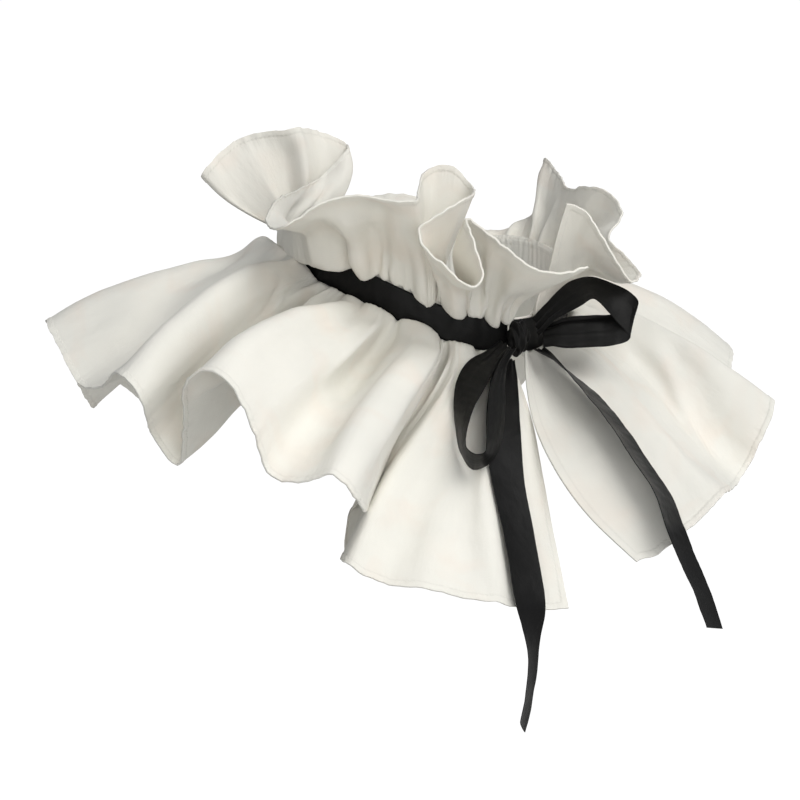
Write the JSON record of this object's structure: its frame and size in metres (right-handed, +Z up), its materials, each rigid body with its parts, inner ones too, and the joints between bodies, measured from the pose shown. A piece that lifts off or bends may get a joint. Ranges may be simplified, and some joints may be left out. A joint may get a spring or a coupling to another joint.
{
  "type": "ruffled collar",
  "caption": "Gathered white cotton collar with a wide lower ruffle, a short standing frill and a black satin ribbon tied in a bow at the front.",
  "frame": {"origin": "centre of the neck ring, level with its highest points on the two shoulders", "axes": "+Z up, -Y the wearer's front, +X the wearer's left"},
  "size_m": [0.3744, 0.3789, 0.2464],
  "materials": {
    "white_cotton": "matte plain weave",
    "black_satin": "satin ribbon"
  },
  "bodies": {
    "root": {"cape": "white_cotton", "frill": "white_cotton", "neckband": "white_cotton", "ribbon_band": "black_satin", "bow_knot": "black_satin", "bow_loop_right_side": "black_satin", "bow_loop_left_side": "black_satin", "ribbon_tail_right_side": "black_satin", "ribbon_tail_left_side": "black_satin"}
  },
  "joints": []
}
